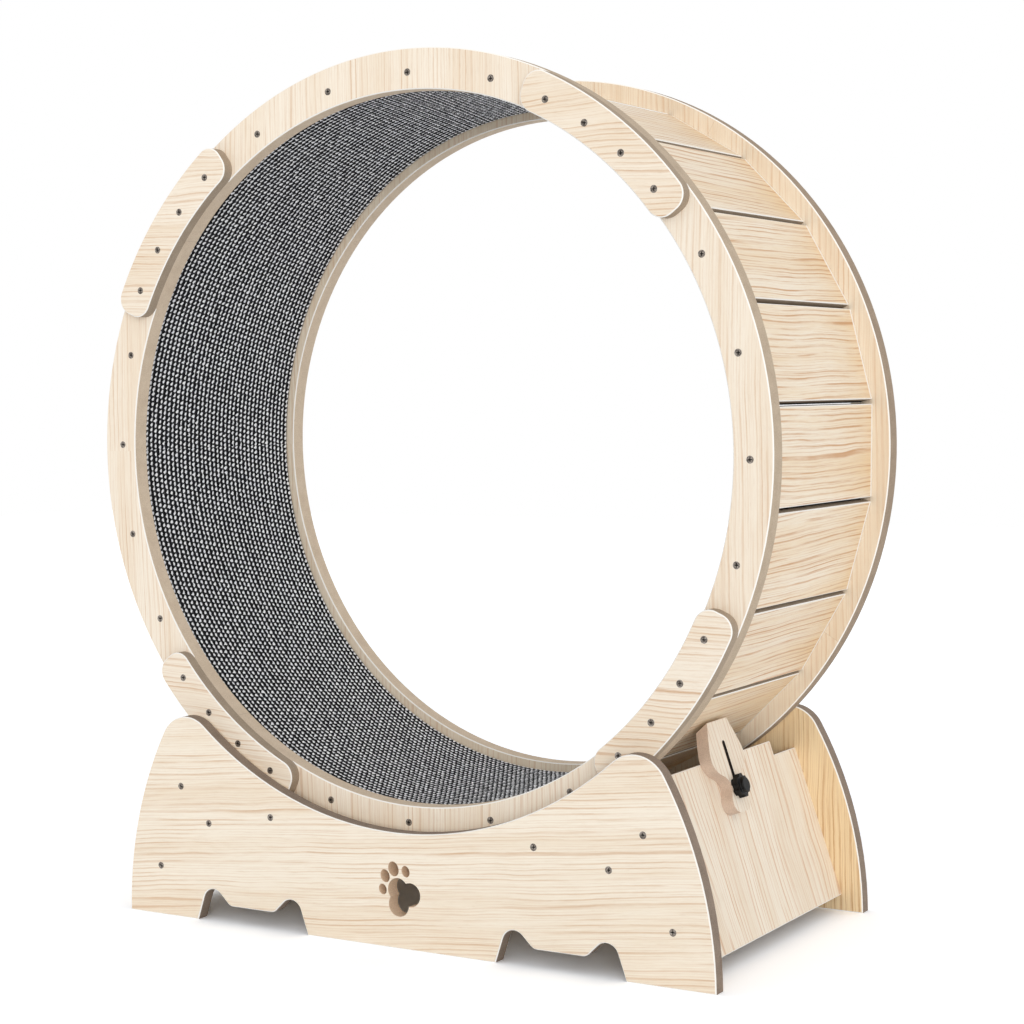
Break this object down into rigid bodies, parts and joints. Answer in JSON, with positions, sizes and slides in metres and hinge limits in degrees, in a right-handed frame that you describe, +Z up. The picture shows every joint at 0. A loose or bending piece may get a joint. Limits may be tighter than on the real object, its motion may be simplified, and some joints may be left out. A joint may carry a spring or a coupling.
{
  "type": "cat exercise wheel",
  "caption": "Floor-standing running wheel for a cat: carpet-lined slatted drum between two board rings, turning on rollers in a cradle stand with a sliding lock.",
  "frame": {"origin": "on the floor, under the middle of the wheel's axis", "axes": "+Z up, wheel axis along Y, front plate towards -Y, lock on the +X end"},
  "size_m": [0.9, 0.414, 1.01],
  "materials": {
    "ring_board": "pale wood-grain faced fibreboard, bare taupe edges",
    "splice_board": "pale wood-grain faced fibreboard, bare taupe edges",
    "slat_board": "pale wood-grain faced fibreboard, bare taupe edges",
    "stand_board": "pale wood-grain faced fibreboard, bare taupe edges",
    "panel_board": "pale wood-grain faced fibreboard, bare taupe edges",
    "inner_board": "pale wood-grain faced fibreboard, bare taupe edges",
    "lock_board": "pale wood-grain faced fibreboard, bare taupe edges",
    "carpet": "ribbed loop carpet, navy and grey",
    "screw_steel": "zinc plated",
    "zinc_steel": "zinc plated",
    "knob_plastic": "matte black",
    "roller_plastic": "hard dark grey moulding"
  },
  "bodies": {
    "stand": {"front_base_plate": "stand_board", "rear_base_plate": "stand_board", "right_end_panel": "panel_board", "left_end_panel": "panel_board", "right_roller_board": "inner_board", "left_roller_board": "inner_board", "base_screws": "screw_steel", "roller_brackets": "zinc_steel", "roller_axle_bolts": "zinc_steel", "bracket_screws": "screw_steel", "lock_tee_nut": "zinc_steel"},
    "wheel": {"front_ring_segment_1": "ring_board", "front_ring_segment_2": "ring_board", "front_ring_segment_3": "ring_board", "front_ring_segment_4": "ring_board", "rear_ring_segment_1": "ring_board", "rear_ring_segment_2": "ring_board", "rear_ring_segment_3": "ring_board", "rear_ring_segment_4": "ring_board", "front_splice_plate_1": "splice_board", "front_splice_plate_2": "splice_board", "front_splice_plate_3": "splice_board", "front_splice_plate_4": "splice_board", "slat_01": "slat_board", "slat_02": "slat_board", "slat_03": "slat_board", "slat_04": "slat_board", "slat_05": "slat_board", "slat_06": "slat_board", "slat_07": "slat_board", "slat_08": "slat_board", "slat_09": "slat_board", "slat_10": "slat_board", "slat_11": "slat_board", "slat_12": "slat_board", "slat_13": "slat_board", "slat_14": "slat_board", "slat_15": "slat_board", "slat_16": "slat_board", "slat_17": "slat_board", "slat_18": "slat_board", "slat_19": "slat_board", "slat_20": "slat_board", "slat_21": "slat_board", "slat_22": "slat_board", "slat_23": "slat_board", "slat_24": "slat_board", "carpet_lining": "carpet", "ring_screws": "screw_steel", "splice_screws": "screw_steel"},
    "roller_front_right": {"roller_front_right": "roller_plastic"},
    "roller_front_left": {"roller_front_left": "roller_plastic"},
    "roller_rear_right": {"roller_rear_right": "roller_plastic"},
    "roller_rear_left": {"roller_rear_left": "roller_plastic"},
    "lock": {"lock_plate": "lock_board"},
    "knob": {"lock_knob": "knob_plastic"}
  },
  "joints": [
    {"name": "wheel_spin", "type": "hinge", "parent": "stand", "child": "wheel", "pos_m": [0, 0, 0.56], "axis": [0, 1, 0], "continuous": true},
    {"name": "roller_front_right_spin", "type": "hinge", "parent": "stand", "child": "roller_front_right", "pos_m": [0.24643, 0, 0.15943], "axis": [0, 1, 0], "continuous": true},
    {"name": "roller_front_left_spin", "type": "hinge", "parent": "stand", "child": "roller_front_left", "pos_m": [-0.24643, 0, 0.15943], "axis": [0, 1, 0], "continuous": true},
    {"name": "roller_rear_right_spin", "type": "hinge", "parent": "stand", "child": "roller_rear_right", "pos_m": [0.24643, 0, 0.15943], "axis": [0, 1, 0], "continuous": true},
    {"name": "roller_rear_left_spin", "type": "hinge", "parent": "stand", "child": "roller_rear_left", "pos_m": [-0.24643, 0, 0.15943], "axis": [0, 1, 0], "continuous": true},
    {"name": "lock_slide", "type": "slide", "parent": "stand", "child": "lock", "axis": [-0.3239, 0, 0.9461], "range_m": [-0.05, 0.005]},
    {"name": "knob_turn", "type": "hinge", "parent": "stand", "child": "knob", "pos_m": [0.33139, -0.015, 0.18062], "axis": [0.9461, 0, 0.3239], "range_deg": [0, 360]}
  ],
  "couplings": [
    {"joint": "roller_front_right_spin", "follows": "wheel_spin", "ratio": -22.5},
    {"joint": "roller_front_left_spin", "follows": "wheel_spin", "ratio": -22.5},
    {"joint": "roller_rear_right_spin", "follows": "wheel_spin", "ratio": -22.5},
    {"joint": "roller_rear_left_spin", "follows": "wheel_spin", "ratio": -22.5}
  ]
}
